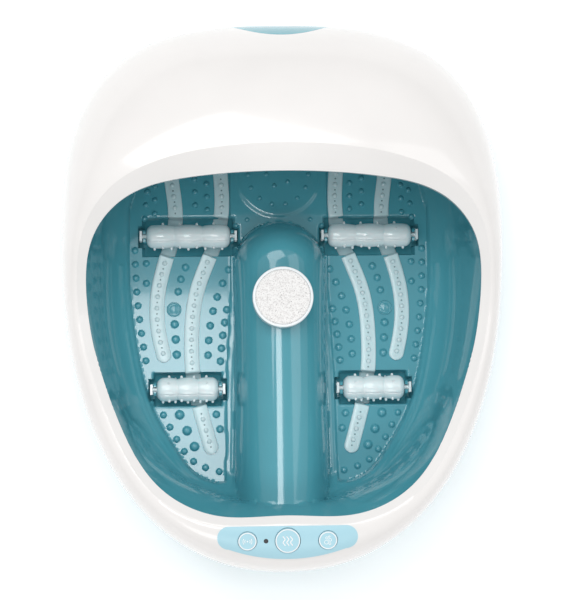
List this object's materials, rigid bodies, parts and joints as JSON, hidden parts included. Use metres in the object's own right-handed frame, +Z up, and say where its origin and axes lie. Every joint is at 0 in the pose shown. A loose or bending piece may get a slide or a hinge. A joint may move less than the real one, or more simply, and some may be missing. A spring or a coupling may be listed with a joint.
{
  "type": "foot spa basin",
  "caption": "Heated bubbling foot spa basin with a hooded splash cover, foot rollers, bubble strips, pumice stone and push-button controls.",
  "frame": {"origin": "on the floor, below the middle of the overall length and width", "axes": "+X to the user's right, +Y from the front rim with the controls towards the hood and the toes, +Z up"},
  "size_m": [0.356, 0.4454, 0.196],
  "materials": {
    "cover_white": "glossy moulded ABS",
    "basin_teal": "glossy tinted moulding",
    "body_teal": "glossy tinted moulding",
    "base_grey": "matte moulding",
    "panel_blue": "satin overlay",
    "lens_dark": "smoked lens",
    "clear_blue": "translucent moulding",
    "roller_white": "translucent moulding",
    "holder_white": "glossy ring",
    "pumice": "porous pumice",
    "rubber_grey": "soft rubber",
    "steel": "zinc plated",
    "inner_plastic": "matte moulding",
    "hose_clear": "silicone",
    "board_green": "solder mask",
    "copper": "enamelled copper",
    "weight_iron": "cast weight",
    "heater_aluminium": "rolled sheet",
    "thermal_black": "moulded case",
    "led_clear": "clear epoxy"
  },
  "bodies": {
    "spa_body": {"air_hose": "hose_clear", "air_manifold": "inner_plastic", "base_plate": "base_grey", "base_screws": "steel", "basin": "basin_teal", "blower_cover": "inner_plastic", "blower_housing": "inner_plastic", "blower_motor": "steel", "board_pillars": "inner_plastic", "board_screws": "steel", "bubble_strip_left_inner": "clear_blue", "bubble_strip_left_outer": "clear_blue", "bubble_strip_right_inner": "clear_blue", "bubble_strip_right_outer": "clear_blue", "button_board": "board_green", "capacitor": "inner_plastic", "control_lead": "thermal_black", "control_panel": "panel_blue", "cord_gland": "rubber_grey", "cover_screws": "steel", "heater_plates": "heater_aluminium", "heating_elements": "copper", "indicator_led": "led_clear", "indicator_lens": "lens_dark", "lower_body": "body_teal", "main_board": "board_green", "mains_lead": "thermal_black", "motor_bracket": "steel", "motor_lead": "thermal_black", "rear_grip": "body_teal", "relay": "inner_plastic", "rubber_feet": "rubber_grey", "tact_switches": "inner_plastic", "thermal_fuse": "thermal_black", "thermostat": "thermal_black", "top_cover": "cover_white", "transformer_coil": "copper", "transformer_core": "steel", "vibration_motor": "steel"},
    "massage_button": {"massage_button": "panel_blue"},
    "heat_button": {"heat_button": "panel_blue"},
    "bubble_button": {"bubble_button": "panel_blue"},
    "pumice_attachment": {"pumice_holder": "holder_white", "pumice_stone": "pumice"},
    "eccentric_weight": {"eccentric_weight": "weight_iron"},
    "blower_impeller": {"blower_impeller": "inner_plastic"},
    "toe_roller_left": {"toe_roller_left_upper_shell": "roller_white", "toe_roller_left_lower_shell": "roller_white", "toe_roller_left_axle": "roller_white"},
    "toe_roller_right": {"toe_roller_right_upper_shell": "roller_white", "toe_roller_right_lower_shell": "roller_white", "toe_roller_right_axle": "roller_white"},
    "heel_roller_left": {"heel_roller_left_upper_shell": "roller_white", "heel_roller_left_lower_shell": "roller_white", "heel_roller_left_axle": "roller_white"},
    "heel_roller_right": {"heel_roller_right_upper_shell": "roller_white", "heel_roller_right_lower_shell": "roller_white", "heel_roller_right_axle": "roller_white"}
  },
  "joints": [
    {"name": "massage_press", "type": "slide", "parent": "spa_body", "child": "massage_button", "axis": [0, 0.2419, -0.9703], "range_m": [0, 0.001], "stiffness_N_per_m": 400, "springref_m": -0.0005},
    {"name": "heat_press", "type": "slide", "parent": "spa_body", "child": "heat_button", "axis": [0, 0.2419, -0.9703], "range_m": [0, 0.001], "stiffness_N_per_m": 400, "springref_m": -0.0005},
    {"name": "bubble_press", "type": "slide", "parent": "spa_body", "child": "bubble_button", "axis": [0, 0.2419, -0.9703], "range_m": [0, 0.001], "stiffness_N_per_m": 400, "springref_m": -0.0005},
    {"name": "toe_roller_left_spin", "type": "hinge", "parent": "spa_body", "child": "toe_roller_left", "pos_m": [-0.076, 0.054, 0.054], "axis": [1, 0, 0], "continuous": true},
    {"name": "toe_roller_right_spin", "type": "hinge", "parent": "spa_body", "child": "toe_roller_right", "pos_m": [0.076, 0.054, 0.054], "axis": [1, 0, 0], "continuous": true},
    {"name": "heel_roller_left_spin", "type": "hinge", "parent": "spa_body", "child": "heel_roller_left", "pos_m": [-0.0775, -0.074, 0.054], "axis": [1, 0, 0], "continuous": true},
    {"name": "heel_roller_right_spin", "type": "hinge", "parent": "spa_body", "child": "heel_roller_right", "pos_m": [0.0775, -0.074, 0.054], "axis": [1, 0, 0], "continuous": true},
    {"name": "pumice_lift", "type": "slide", "parent": "spa_body", "child": "pumice_attachment", "axis": [0, 0, 1], "range_m": [0, 0.03]},
    {"name": "eccentric_spin", "type": "hinge", "parent": "spa_body", "child": "eccentric_weight", "pos_m": [0, -0.0045, 0.072], "axis": [0, 1, 0], "continuous": true},
    {"name": "impeller_spin", "type": "hinge", "parent": "spa_body", "child": "blower_impeller", "pos_m": [0, -0.088, 0.02], "axis": [0, 0, 1], "continuous": true}
  ]
}
